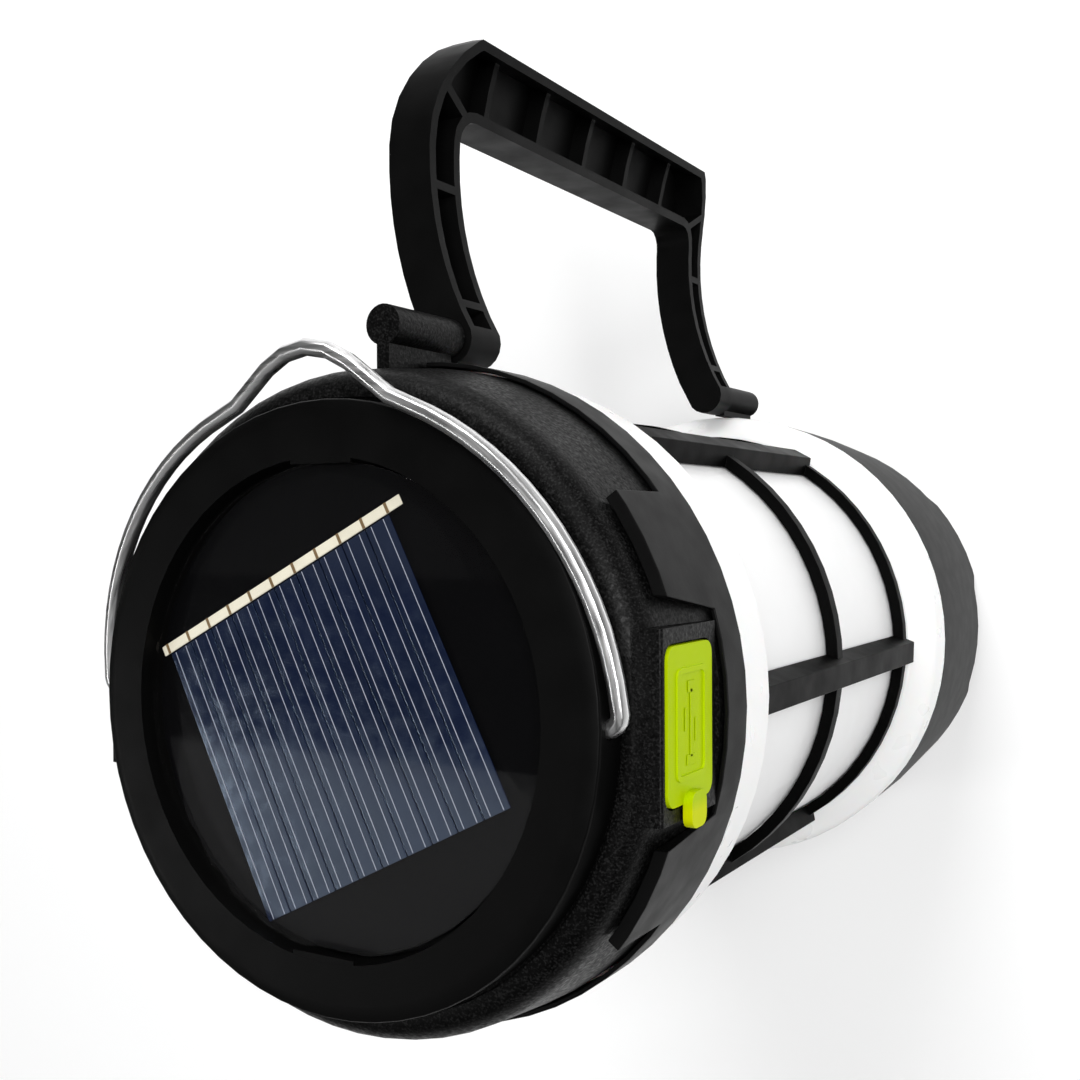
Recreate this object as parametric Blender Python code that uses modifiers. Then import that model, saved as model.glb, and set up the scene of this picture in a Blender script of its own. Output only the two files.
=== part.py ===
"""Solar camping lantern with a torch head, a folding carry handle and a wire hanging bail.

The lantern stands on its torch head, with the solar panel on top. Z runs up the axis of the body,
X points to the side with the USB port and Y to the side with the handle's hinge. The origin is the
middle of the torch lens's flat front face. "Depth" always means the distance below the widest
edge of the solar cap, whose flat face stands a little higher.
"""

from math import cos, pi, radians, sin

import bmesh
import bpy
from mathutils import Matrix, Vector

MM = 0.001
GAP = 0.3 * MM

# Driving dimensions
BODY_LENGTH = 194.5 * MM
CAP_R = 42.0 * MM
SHELL_R = 48.2 * MM
COLLAR_R = 49.2 * MM
TUBE_R = 42.0 * MM
HEAD_END_R = 47.0 * MM
LENS_RECESS = 3.5 * MM
LENS_DEPTH = BODY_LENGTH - LENS_RECESS

# Depths where the stacked shells meet
SHELL_TOP = 4.2 * MM
SHELL_END = 29.0 * MM
UPPER_COLLAR_END = 41.1 * MM
LOWER_COLLAR_TOP = 132.8 * MM
HEAD_TOP = 145.3 * MM
CREST_FLOOR = 189.8 * MM

# Side boxes on the shell, for the USB port (+X) and the mode button (-X)
BOX_FACE = 47.5 * MM
BOX_HALF_WIDTH = 12.1 * MM
BOX_TOP = 5.0 * MM
BOX_END = 21.6 * MM
PORT_DEPTH = 12.6 * MM
BUTTON_DEPTH = 13.4 * MM
BUTTON_R = 4.6 * MM
FLAP_FRONT = 47.8 * MM
FLAP_HINGE_Y = 9.8 * MM

# Handle hinge, handle arch and its two arms
HINGE_Y = 53.8 * MM
BARREL_R = 3.0 * MM
PEG_R = 1.9 * MM
ARCH_CENTRE = (53.4 * MM, 83.2 * MM)
ARCH_OUTER_R = 65.0 * MM
ARCH_INNER_R = 57.1 * MM
ARCH_TOP_ANGLE = radians(159.2)
ARCH_FOOT_ANGLE = radians(207.0)
HANDLE_TOP = 30.3 * MM
HANDLE_END = 137.8 * MM
NEAR_ARM = 8.5 * MM
FAR_ARM = 6.8 * MM
GRIP_BOTTOM_Y = 91.0 * MM
GRIP_TOP_Y = 106.6 * MM
NEAR_CORNER_R = 21.0 * MM
FAR_CORNER_R = 15.0 * MM
WINDOW_CORNER_R = 4.0 * MM

# Wire bail
BAIL_WIRE_R = 1.25 * MM
BAIL_R = 43.5 * MM
BAIL_CREST = 48.9 * MM
BAIL_PIVOT_DEPTH = 2.1 * MM
BAIL_TILT = radians(7)

# Light tube and cage
BAR_ANGLES = [radians(angle) for angle in (-2, 61, 121, 180, 239, 300)]
BAR_HALF_WIDTHS = (3.6 * MM, 2.1 * MM)
BAR_ENDS = (38.6 * MM, 132.4 * MM)
CAGE_INNER_R = TUBE_R + GAP
CAGE_OUTER_R = 45.8 * MM

SOLAR_CELLS = 10
CELL_BLOCK = (45.2 * MM, 41.6 * MM)
CELL_ANGLE = radians(26.9)
CELL_CENTRE = (-1.3 * MM, -2.5 * MM)

BATTERY_R = 9.0 * MM
BATTERY_LENGTH = 65.0 * MM
BATTERY_DEPTH = 26.8 * MM
BOARD_DEPTH = 15.6 * MM

STEPS = 64
INNER_STEPS = 32


def height(depth):
    """Z of a level that lies this far below the widest edge of the solar cap."""
    return LENS_DEPTH - depth


# ---- Scene, materials and shape helpers -----------------------------------------------------------


def clear_scene():
    for obj in list(bpy.data.objects):
        bpy.data.objects.remove(obj)


def new_collection(name):
    collection = bpy.data.collections.new(name)
    bpy.context.scene.collection.children.link(collection)
    return collection


def new_material(name, colour, roughness, metallic=0.0, alpha=1.0):
    material = bpy.data.materials.new(name)
    material.use_nodes = True
    shader = material.node_tree.nodes["Principled BSDF"]
    shader.inputs["Base Color"].default_value = (*colour, 1.0)
    shader.inputs["Roughness"].default_value = roughness
    shader.inputs["Metallic"].default_value = metallic
    shader.inputs["Alpha"].default_value = alpha
    return material


def place(obj, collection, material=None):
    """Moves an object into one of the two collections and gives it its material."""
    for owner in list(obj.users_collection):
        owner.objects.unlink(obj)
    collection.objects.link(obj)
    obj.data.materials.clear()
    if material:
        obj.data.materials.append(material)
    else:
        obj.hide_render = True
        obj.display_type = "WIRE"
    return obj


def turned(name, profile, material=None, steps=STEPS):
    """A closed profile of (radius, depth) points, running down its outer side, turned about Z."""
    mesh = bpy.data.meshes.new(name)
    points = [(radius, 0, height(depth)) for radius, depth in profile]
    edges = [(i, (i + 1) % len(points)) for i in range(len(points))]
    mesh.from_pydata(points, edges, [])
    obj = bpy.data.objects.new(name, mesh)
    screw = obj.modifiers.new("Turn", "SCREW")
    screw.axis = "Z"
    screw.steps = steps
    screw.render_steps = steps
    screw.use_merge_vertices = True
    screw.merge_threshold = 0.00001
    return place(obj, PARTS if material else CUTTERS, material)


def disc(name, radius, top, bottom, material=None, centre=(0, 0), vertices=INNER_STEPS):
    """An upright cylinder between two depths."""
    middle = (centre[0], centre[1], height((top + bottom) / 2))
    bpy.ops.mesh.primitive_cylinder_add(
        vertices=vertices, radius=radius, depth=bottom - top, location=middle
    )
    obj = bpy.context.object
    obj.name = name
    return place(obj, PARTS if material else CUTTERS, material)


def rod_x(name, radius, x_from, x_to, depth, material=None, y=0, vertices=24):
    """A cylinder that lies along X."""
    bpy.ops.mesh.primitive_cylinder_add(
        vertices=vertices,
        radius=radius,
        depth=abs(x_to - x_from),
        location=((x_from + x_to) / 2, y, height(depth)),
        rotation=(0, pi / 2, 0),
    )
    obj = bpy.context.object
    obj.name = name
    return place(obj, PARTS if material else CUTTERS, material)


def box(name, x_range, y_range, depths, material=None, turn=0.0):
    """A box given by its X, Y and depth ranges, then turned about Z by an angle."""
    size = (x_range[1] - x_range[0], y_range[1] - y_range[0], depths[1] - depths[0])
    centre = (sum(x_range) / 2, sum(y_range) / 2, height(sum(depths) / 2))
    bpy.ops.mesh.primitive_cube_add(size=1)
    obj = bpy.context.object
    obj.name = name
    obj.data.transform(Matrix.Diagonal((*size, 1)))
    obj.data.transform(Matrix.Translation(centre))
    obj.data.transform(Matrix.Rotation(turn, 4, "Z"))
    return place(obj, PARTS if material else CUTTERS, material)


# How the outline's plane and its extrusion are turned for each direction of extrusion
TURNS = {
    "X": Matrix(((0, 0, 1, 0), (1, 0, 0, 0), (0, 1, 0, 0), (0, 0, 0, 1))),
    "Y": Matrix(((1, 0, 0, 0), (0, 0, 1, 0), (0, 1, 0, 0), (0, 0, 0, 1))),
    "Z": Matrix(),
}


def extruded(name, outline, low, high, along, material=None):
    """A flat outline filled and extruded: (X, Y) points along Z, (Y, Z) along X or (X, Z) along Y."""
    curve = bpy.data.curves.new(name, "CURVE")
    curve.dimensions = "2D"
    curve.fill_mode = "BOTH"
    curve.extrude = (high - low) / 2
    spline = curve.splines.new("POLY")
    spline.points.add(len(outline) - 1)
    for point, (a, b) in zip(spline.points, outline):
        point.co = (a, b, 0, 1)
    spline.use_cyclic_u = True
    guide = bpy.data.objects.new(name + "_outline", curve)
    bpy.context.scene.collection.objects.link(guide)
    graph = bpy.context.evaluated_depsgraph_get()
    mesh = bpy.data.meshes.new_from_object(guide.evaluated_get(graph))
    bpy.data.objects.remove(guide)
    mesh.transform(TURNS[along] @ Matrix.Translation((0, 0, (low + high) / 2)))
    weld(mesh)
    obj = bpy.data.objects.new(name, mesh)
    return place(obj, PARTS if material else CUTTERS, material)


def weld(mesh):
    """Joins a mesh's loose caps to its sides."""
    shape = bmesh.new()
    shape.from_mesh(mesh)
    bmesh.ops.remove_doubles(shape, verts=shape.verts, dist=0.000002)
    bmesh.ops.recalc_face_normals(shape, faces=shape.faces)
    shape.to_mesh(mesh)
    shape.free()


def boolean(obj, other, operation):
    modifier = obj.modifiers.new(operation.title(), "BOOLEAN")
    modifier.operation = operation
    modifier.object = other


def cut(obj, *others):
    for other in others:
        boolean(obj, other, "DIFFERENCE")
    return obj


def fuse(obj, *others):
    for other in others:
        boolean(obj, other, "UNION")
    return obj


def arc(centre, radii, start, end, steps):
    """Points of an elliptical arc; angles in degrees."""
    angles = [radians(start + (end - start) * i / steps) for i in range(steps + 1)]
    return [(centre[0] + radii[0] * cos(a), centre[1] + radii[1] * sin(a)) for a in angles]


def around(count, start=0.0):
    """Equally spaced angles about the axis."""
    return [start + 2 * pi * i / count for i in range(count)]


def polar(radius, angle):
    return (radius * cos(angle), radius * sin(angle))


def settle(obj, graph):
    """Applies the modifiers and the placing, and shades the round faces smooth."""
    mesh = bpy.data.meshes.new_from_object(obj.evaluated_get(graph))
    mesh.transform(obj.matrix_world)
    obj.matrix_world = Matrix()
    obj.modifiers.clear()
    obj.data = mesh
    mesh.name = obj.name
    mesh.shade_smooth()
    mesh.set_sharp_from_angle(angle=radians(32))


def put_origin(obj, point):
    """Sets an object's origin on its joint's axis without moving its shape."""
    obj.data.transform(Matrix.Translation(-Vector(point)))
    obj.location = point


# ---- Solar unit -----------------------------------------------------------------------------------

PANEL_R = 33.6 * MM
RECESS_R = 34.2 * MM
CAP_FACE = -1.2 * MM
CAP_FACE_R = 39.5 * MM
CAP_FLOOR = (3.4 * MM, 5.0 * MM)
POST_RADIUS = 34.0 * MM
POST_ANGLES = around(4, pi / 4)


def make_solar_cap(material):
    """Ring around the panel, with the floor that carries it and a skirt that plugs into the shell."""
    skirt = (40.0 * MM, 37.4 * MM)
    skirt_end = 9.5 * MM
    top, under = CAP_FLOOR
    cable_hole = 4 * MM
    rounding = arc((CAP_R - 0.4 * MM, 0), (0.4 * MM, 0.55 * MM), -75, 0, 3)
    profile = [(RECESS_R, CAP_FACE), (CAP_FACE_R, CAP_FACE)] + rounding
    profile += [(CAP_R, under), (skirt[0], under), (skirt[0], skirt_end), (skirt[1], skirt_end)]
    profile += [(skirt[1], under)]
    profile += [(cable_hole, under), (cable_hole, top), (RECESS_R, top)]
    cap = turned("solar_cap", profile, material)
    bore_r = BAIL_WIRE_R + 0.15 * MM
    for side in (1, -1):
        bore_ends = (side * 36.3 * MM, side * 45 * MM)
        cut(cap, rod_x("pivot_bore", bore_r, *bore_ends, BAIL_PIVOT_DEPTH, vertices=12))
        lip_depths = (CAP_FACE + 0.02 * MM, CAP_FACE + 0.35 * MM)
        turn = side * pi / 2 - pi / 2
        fuse(cap, box("lip", (-5.2 * MM, 5.2 * MM), (33.2 * MM, 36 * MM), lip_depths, turn=turn))
    for angle in POST_ANGLES:
        centre = polar(POST_RADIUS, angle)
        fuse(cap, disc("post", 3.2 * MM, 4.2 * MM, BOARD_DEPTH - GAP, centre=centre, vertices=16))
        cut(cap, disc("post_bore", 1.25 * MM, 8 * MM, 18 * MM, centre=centre, vertices=12))


def make_solar_panel(board, cell, ribbon, resin):
    """Backing board, a row of cells with the strip that joins them, and the resin poured over them."""
    disc("solar_backing_board", PANEL_R, 2.1 * MM, 3.1 * MM, board)
    cell_depths = (1.55 * MM, 1.8 * MM)
    width = CELL_BLOCK[0] / SOLAR_CELLS
    gap = 0.08 * MM
    edge = CELL_BLOCK[1] / 2
    for i in range(SOLAR_CELLS):
        left = -CELL_BLOCK[0] / 2 + i * width
        ends = (left + gap, left + width - gap)
        turn_panel_piece(box(f"solar_cell_{i + 1:02d}", ends, (-edge, edge), cell_depths, cell))
    bus_ends = (-CELL_BLOCK[0] / 2 - 1.2 * MM, CELL_BLOCK[0] / 2 + 2.6 * MM)
    bus_sides = (edge + 0.2 * MM, edge + 1.7 * MM)
    turn_panel_piece(box("cell_bus_strip", bus_ends, bus_sides, cell_depths, ribbon))
    crown = [(0, 0.75 * MM), (29 * MM, 0.75 * MM), (32 * MM, 0.62 * MM), (PANEL_R, 0.4 * MM)]
    turned("solar_resin_cover", crown + [(PANEL_R, 1.25 * MM), (0, 1.25 * MM)], resin)


def turn_panel_piece(obj):
    """The cell block sits askew in the round panel."""
    obj.data.transform(Matrix.Rotation(CELL_ANGLE, 4, "Z"))
    obj.data.transform(Matrix.Translation((*CELL_CENTRE, 0)))


def bail_radius(angle):
    """Distance of the wire from the axis, with a raised hook rest in the middle of the arch."""
    away = abs(angle - pi / 2) / radians(19)
    if away >= 1:
        return BAIL_R
    return BAIL_R + (BAIL_CREST - BAIL_R) * (0.5 + 0.5 * cos(pi * away)) ** 0.8


def make_bail(material):
    """One bent wire: a straight pivot at each end and the arch between them, leaning by the tilt."""
    bend = 1.9 * MM
    inner_end = 38.3 * MM
    corner = [(BAIL_R - bend + x, bend + y) for x, y in arc((0, 0), (bend, bend), -90, 0, 4)]
    first = corner[-1][1] / BAIL_R
    steps = 40
    angles = [first + 0.02 + (pi - 2 * first - 0.04) * i / steps for i in range(steps + 1)]
    right = [(inner_end, 0)] + corner
    left = [(-x, y) for x, y in reversed(right)]
    route = right + [polar(bail_radius(a), a) for a in angles] + left
    curve = bpy.data.curves.new("bail", "CURVE")
    curve.dimensions = "3D"
    curve.bevel_depth = BAIL_WIRE_R
    curve.bevel_resolution = 2
    curve.use_fill_caps = True
    spline = curve.splines.new("POLY")
    spline.points.add(len(route) - 1)
    for point, (x, y) in zip(spline.points, route):
        point.co = (x, y * cos(BAIL_TILT), y * sin(BAIL_TILT), 1)
    wire = bpy.data.objects.new("bail", curve)
    wire.location = (0, 0, height(BAIL_PIVOT_DEPTH))
    PARTS.objects.link(wire)
    curve.materials.append(material)


# ---- Top shell, its ports and buttons -------------------------------------------------------------


def make_top_housing(material):
    """Shell with a rounded shoulder, two side boxes, and the web and barrel of the near hinge."""
    shoulder_end = 8.6 * MM
    shoulder_radii = (3.9 * MM, shoulder_end - SHELL_TOP)
    shoulder = arc((43.0 * MM, shoulder_end), shoulder_radii, -90, 0, 6)
    rim, seat, inner = 42.6 * MM, 40.3 * MM, 44.2 * MM
    profile = [(rim, SHELL_TOP)] + shoulder + [(SHELL_R, 21 * MM), (SHELL_R, SHELL_END)]
    profile += [(inner, SHELL_END), (inner, 8.8 * MM), (rim, 7.2 * MM), (seat, 7.2 * MM)]
    profile += [(seat, 5.4 * MM), (rim, 5.4 * MM)]
    shell = turned("top_housing", profile, material)
    for side in (1, -1):
        add_side_box(shell, side)
    pocket_outline = rounded_rectangle((-10.4 * MM, 10.1 * MM), (5.8 * MM, 20.2 * MM), 2.0 * MM)
    pocket = extruded("flap_pocket", pocket_outline, 46.2 * MM, 49 * MM, "X")
    port = box("port_window", (42 * MM, 49 * MM), (-6.95 * MM, 6.95 * MM), (9.4 * MM, 15.8 * MM))
    button_hole = rod_x("button_hole", BUTTON_R + GAP, -50 * MM, -42 * MM, BUTTON_DEPTH)
    cut(shell, pocket, port, button_hole)
    add_hinge_barrel(shell, (13 * MM, 29.9 * MM), (13 * MM, 28.9 * MM), 45.6 * MM, opens_down=True)


def add_side_box(shell, side):
    """A box with a flat face for the port or the button; its top slopes a little, like the shoulder."""
    half = BOX_HALF_WIDTH
    room = 0.1 * MM
    beyond = sorted((side * (BOX_FACE - room), side * 52 * MM))
    cut(shell, box("flat", beyond, (room - half, half - room), (10 * MM, BOX_END - room)))
    edge_r = 0.5 * MM
    edge = arc((BOX_FACE - edge_r, BOX_TOP + edge_r), (edge_r, edge_r), -80, 0, 3)
    outline = [(43.6 * MM, 4.5 * MM)] + edge + [(BOX_FACE, BOX_END), (44.9 * MM, BOX_END)]
    outline += [(44.9 * MM, 9.6 * MM), (43.6 * MM, 8.0 * MM)]
    outline = [(side * x, height(depth)) for x, depth in outline]
    fuse(shell, extruded("side_box", outline, -half, half, "Y"))


def rounded_rectangle(y_range, depths, corner_r):
    """Outline of a plate that faces sideways, as (Y, Z) points."""
    left, right = y_range[0] + corner_r, y_range[1] - corner_r
    low, high = height(depths[1]) + corner_r, height(depths[0]) - corner_r
    corners = ((right, high, 0), (left, high, 90), (left, low, 180), (right, low, 270))
    points = []
    for y, z, start in corners:
        points += arc((y, z), (corner_r, corner_r), start, start + 90, 4)
    return points


def add_hinge_barrel(shell, barrel_depths, web_depths, web_foot, opens_down):
    """A round barrel on a thin web, with a blind bore for the handle's peg at one end."""
    web = box("web", (-1.1 * MM, 1.1 * MM), (web_foot, HINGE_Y), web_depths)
    barrel = disc("barrel", BARREL_R, *barrel_depths, centre=(0, HINGE_Y), vertices=24)
    bore_length = 12 * MM
    if opens_down:
        bore = (barrel_depths[1] - bore_length, barrel_depths[1] + 1 * MM)
    else:
        bore = (barrel_depths[0] - 1 * MM, barrel_depths[0] + bore_length)
    fuse(shell, web, barrel)
    cut(shell, disc("peg_bore", PEG_R + 0.15 * MM, *bore, centre=(0, HINGE_Y), vertices=24))


def make_bumper_ring(material):
    """Raised grip band with wide tabs on both sides of each box, as a ring over the shell."""
    top = 8.8 * MM
    band_top = 21.4 * MM
    inner_low = SHELL_R + GAP
    inner_high = 47.0 * MM + GAP
    profile = [(COLLAR_R, top), (COLLAR_R, SHELL_END), (inner_low, SHELL_END)]
    ring = turned("bumper_ring", profile + [(inner_low, 21 * MM), (inner_high, top)], material)
    reach = 60 * MM
    gap_angles = [radians(angle) for angle in (-53.5, -25, 0, 25, 53.5)]
    for side in (1, -1):
        wide = [(0, 0)] + [polar(reach, side * pi / 2 + angle) for angle in gap_angles]
        cut(ring, extruded("long_gap", wide, height(band_top), height(0), "Z"))
        cut(ring, box_gap(side, reach))
    cut(ring, box("web_notch", (-1.6 * MM, 1.6 * MM), (40 * MM, 60 * MM), (0, 40 * MM)))


def box_gap(side, reach):
    """The opening around a side box: its edges close in towards the band."""
    top, end = height(8 * MM), height(22.2 * MM)
    half_top, half_end = (COLLAR_R * sin(radians(angle)) for angle in (18.9, 16))
    outline = [(-half_top, top), (half_top, top), (half_end, end), (-half_end, end)]
    low, high = sorted((side * 30 * MM, side * reach))
    return extruded("box_gap", outline, low, high, "X")


def make_usb_port(flap, metal, tongue):
    """Rubber flap that turns on its +Y edge, and the socket behind the window."""
    front = FLAP_FRONT
    outline = rounded_rectangle((-10.1 * MM, FLAP_HINGE_Y), (6.1 * MM, 19.9 * MM), 1.8 * MM)
    plate = extruded("usb_flap", outline, 46.5 * MM, front, "X", flap)
    outline = rounded_rectangle((-13.2 * MM, -8.6 * MM), (10.6 * MM, 15.2 * MM), 1.4 * MM)
    fuse(plate, extruded("pull_tab", outline, front - 0.1 * MM, front + 1.2 * MM, "X"))
    outline = rounded_rectangle((-7.2 * MM, 6.9 * MM), (8.4 * MM, 17.6 * MM), 1.2 * MM)
    fuse(plate, extruded("frame", outline, front - 0.2 * MM, front + 0.25 * MM, "X"))
    outline = rounded_rectangle((-6.5 * MM, 6.2 * MM), (9.1 * MM, 16.9 * MM), 0.8 * MM)
    cut(plate, extruded("frame_inside", outline, front - 0.06 * MM, front + 1 * MM, "X"))
    shell_x, depths = (29 * MM, 42.6 * MM), (9.75 * MM, 15.3 * MM)
    shell = box("usb_socket_shell", shell_x, (-6.55 * MM, 6.55 * MM), depths, metal)
    cut(shell, box("mouth", (30.2 * MM, 44 * MM), (-6.1 * MM, 6.1 * MM), (10.2 * MM, 14.85 * MM)))
    tongue_x = (30.5 * MM, 41.8 * MM)
    box("usb_socket_tongue", tongue_x, (-5.6 * MM, 5.6 * MM), (12.7 * MM, 14.5 * MM), tongue)


def make_mode_button(rubber, black, metal):
    """Push button with an inner flange, and the tact switch that it presses."""
    face = -BOX_FACE - 1.0 * MM
    button = rod_x("mode_button", BUTTON_R, face, -42.5 * MM, BUTTON_DEPTH, rubber, vertices=32)
    fuse(button, rod_x("flange", 5.3 * MM, -43.0 * MM, -41.9 * MM, BUTTON_DEPTH, vertices=32))
    dish_x = (face - 1 * MM, face + 0.4 * MM)
    cut(button, rod_x("thumb_dish", 3.4 * MM, *dish_x, BUTTON_DEPTH, vertices=32))
    depths = (9.6 * MM, 15.3 * MM)
    switch = box("button_switch", (-39.6 * MM, -35.5 * MM), (-3.1 * MM, 3.1 * MM), depths, black)
    fuse(switch, rod_x("plunger", 1.7 * MM, -40.5 * MM, -39.2 * MM, BUTTON_DEPTH, vertices=16))
    box("switch_bracket", (-35.2 * MM, -34.4 * MM), (-3.6 * MM, 3.6 * MM), depths, metal)


# ---- Electronics ----------------------------------------------------------------------------------


def make_main_board(material, screw_metal):
    end = BOARD_DEPTH + 1.6 * MM
    board = disc("main_board", 38.6 * MM, BOARD_DEPTH, end, material, vertices=STEPS)
    for i, angle in enumerate(POST_ANGLES):
        centre = polar(POST_RADIUS, angle)
        cut(board, disc("board_hole", 1.35 * MM, 14 * MM, 19 * MM, centre=centre, vertices=12))
        make_screw(f"board_screw_{i + 1}", centre, end + GAP, screw_metal)


def make_screw(name, centre, seat, material):
    """A pan-head screw with a cross slot, its head below the seat and its shank above."""
    head_end = seat + 1.6 * MM
    shank_ends = (seat - 7.5 * MM, seat + 0.5 * MM)
    screw = disc(name, 2.5 * MM, seat, head_end, material, centre=centre, vertices=16)
    fuse(screw, disc("shank", 0.95 * MM, *shank_ends, centre=centre, vertices=12))
    slot_depths = (head_end - 0.8 * MM, head_end + 1 * MM)
    for half in ((1.6 * MM, 0.35 * MM), (0.35 * MM, 1.6 * MM)):
        x_range = (centre[0] - half[0], centre[0] + half[0])
        y_range = (centre[1] - half[1], centre[1] + half[1])
        cut(screw, box("slot", x_range, y_range, slot_depths))


def make_batteries(sleeve, holder_plastic, nickel):
    """Two cells side by side in a cradle, joined by a strip at each end."""
    offset = 9.7 * MM
    half = BATTERY_LENGTH / 2
    half_x, half_y = 20.2 * MM, 34.6 * MM
    depths = (27.5 * MM, 36.4 * MM)
    cradle = box("battery_cradle", (-half_x, half_x), (-half_y, half_y), depths, holder_plastic)
    for i, side in enumerate((1, -1)):
        rod_y(f"battery_cell_{i + 1}", BATTERY_R, half, side * offset, sleeve)
        cut(cradle, rod_y("cell_seat", BATTERY_R + 0.25 * MM, half + 1.1 * MM, side * offset))
    for i, side in enumerate((1, -1)):
        ends = sorted((side * (half + 0.3 * MM), side * (half + 0.7 * MM)))
        box(f"battery_strip_{i + 1}", (-13 * MM, 13 * MM), ends, (22.5 * MM, 26.5 * MM), nickel)


def rod_y(name, radius, half_length, x, material=None):
    """A cylinder that lies along Y at the batteries' depth."""
    bpy.ops.mesh.primitive_cylinder_add(
        vertices=24,
        radius=radius,
        depth=2 * half_length,
        location=(x, 0, height(BATTERY_DEPTH)),
        rotation=(pi / 2, 0, 0),
    )
    obj = bpy.context.object
    obj.name = name
    return place(obj, PARTS if material else CUTTERS, material)


# ---- Lantern section ------------------------------------------------------------------------------

UPPER_FLOOR = (36.7 * MM, 38.1 * MM)
TUBE_ENDS = (38.4 * MM, 134.5 * MM)
LOWER_FLOOR = (134.8 * MM, 136.4 * MM)
SPIGOT = (43.8 * MM, 41.8 * MM)


def make_upper_collar(material):
    """White collar with a spigot up into the shell and a floor that carries battery and tube."""
    profile = [(SPIGOT[0], 24.5 * MM), (SPIGOT[0], SHELL_END + GAP), (49.0 * MM, SHELL_END + GAP)]
    profile += [(48.1 * MM, 40.5 * MM), (47.5 * MM, UPPER_COLLAR_END), (46.1 * MM, UPPER_COLLAR_END)]
    profile += [(46.1 * MM, UPPER_FLOOR[1]), (8 * MM, UPPER_FLOOR[1]), (8 * MM, UPPER_FLOOR[0])]
    profile += [(SPIGOT[1], UPPER_FLOOR[0]), (SPIGOT[1], 24.5 * MM)]
    turned("upper_collar", profile, material)


def make_lower_collar(material):
    """White collar that flares out below the cage, with a floor, screw bosses and a spigot."""
    room_r = 42.4 * MM
    hub_r = 8 * MM
    spigot_end = 149.5 * MM
    profile = [(44.2 * MM, LOWER_COLLAR_TOP), (45.5 * MM, 133.5 * MM), (47.3 * MM, 135.6 * MM)]
    profile += [(48.7 * MM, 137.2 * MM), (COLLAR_R + 0.1 * MM, 139 * MM)]
    profile += [(COLLAR_R, HEAD_TOP - GAP), (SPIGOT[0], HEAD_TOP - GAP), (SPIGOT[0], spigot_end)]
    profile += [(SPIGOT[1], spigot_end), (SPIGOT[1], LOWER_FLOOR[1]), (hub_r, LOWER_FLOOR[1])]
    profile += [(hub_r, LOWER_FLOOR[0]), (room_r, LOWER_FLOOR[0]), (room_r, LOWER_COLLAR_TOP)]
    collar = turned("lower_collar", profile, material)
    for angle in POST_ANGLES:
        centre = polar(POST_RADIUS, angle)
        fuse(collar, disc("boss", 3.2 * MM, 136 * MM, 146.7 * MM, centre=centre, vertices=16))
        cut(collar, disc("boss_bore", 1.25 * MM, 138 * MM, 150 * MM, centre=centre, vertices=12))


def make_diffuser(material):
    wall = 1.8 * MM
    profile = [(TUBE_R, TUBE_ENDS[0]), (TUBE_R, TUBE_ENDS[1])]
    profile += [(TUBE_R - wall, TUBE_ENDS[1]), (TUBE_R - wall, TUBE_ENDS[0])]
    turned("diffuser_tube", profile, material)


def make_cage(material):
    """Upright bars with drafted sides, joined by two hoops, all standing just off the tube."""
    rough_inner = CAGE_INNER_R - 1 * MM
    upper_hoop = ring_profile(rough_inner, 44.4 * MM, 85.2 * MM, 88.2 * MM)
    lower_hoop = ring_profile(rough_inner, 44.4 * MM, 129.6 * MM, 132.0 * MM)
    cage = turned("cage", upper_hoop, material)
    fuse(cage, turned("lower_hoop", lower_hoop))
    foot, face = BAR_HALF_WIDTHS
    section = [(rough_inner, -foot), (CAGE_OUTER_R, -face), (CAGE_OUTER_R, face), (rough_inner, foot)]
    for angle in BAR_ANGLES:
        bar = extruded("bar", section, height(BAR_ENDS[1]), height(BAR_ENDS[0]), "Z")
        bar.data.transform(Matrix.Rotation(angle, 4, "Z"))
        fuse(cage, bar)
    cut(cage, turned("tube_room", ring_profile(30 * MM, CAGE_INNER_R, 30 * MM, 140 * MM)))


def ring_profile(inner, outer, top, bottom):
    return [(outer, top), (outer, bottom), (inner, bottom), (inner, top)]


def make_light_core(core, board, plate):
    """Six-sided column with an LED board on each side, between two reflecting end plates."""
    column_r = 15 * MM
    ends = (40.2 * MM, 132.6 * MM)
    column = turned("light_core", ring_profile(11 * MM, column_r, *ends), core, steps=6)
    column.data.transform(Matrix.Rotation(pi / 6, 4, "Z"))
    seat = column_r * cos(pi / 6) + GAP
    board_x = (seat, seat + 1.2 * MM)
    board_ends = (44 * MM, 128 * MM)
    for i, angle in enumerate(around(6)):
        box(f"led_board_{i + 1}", board_x, (-5 * MM, 5 * MM), board_ends, board, turn=angle)
    plates = (("upper_end_plate", 38.5 * MM), ("lower_end_plate", 133.0 * MM))
    for name, top in plates:
        profile = ring_profile(8 * MM, 39.7 * MM, top, top + 1.3 * MM)
        turned(name, profile, plate, steps=INNER_STEPS)


# ---- Torch head -----------------------------------------------------------------------------------


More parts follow.
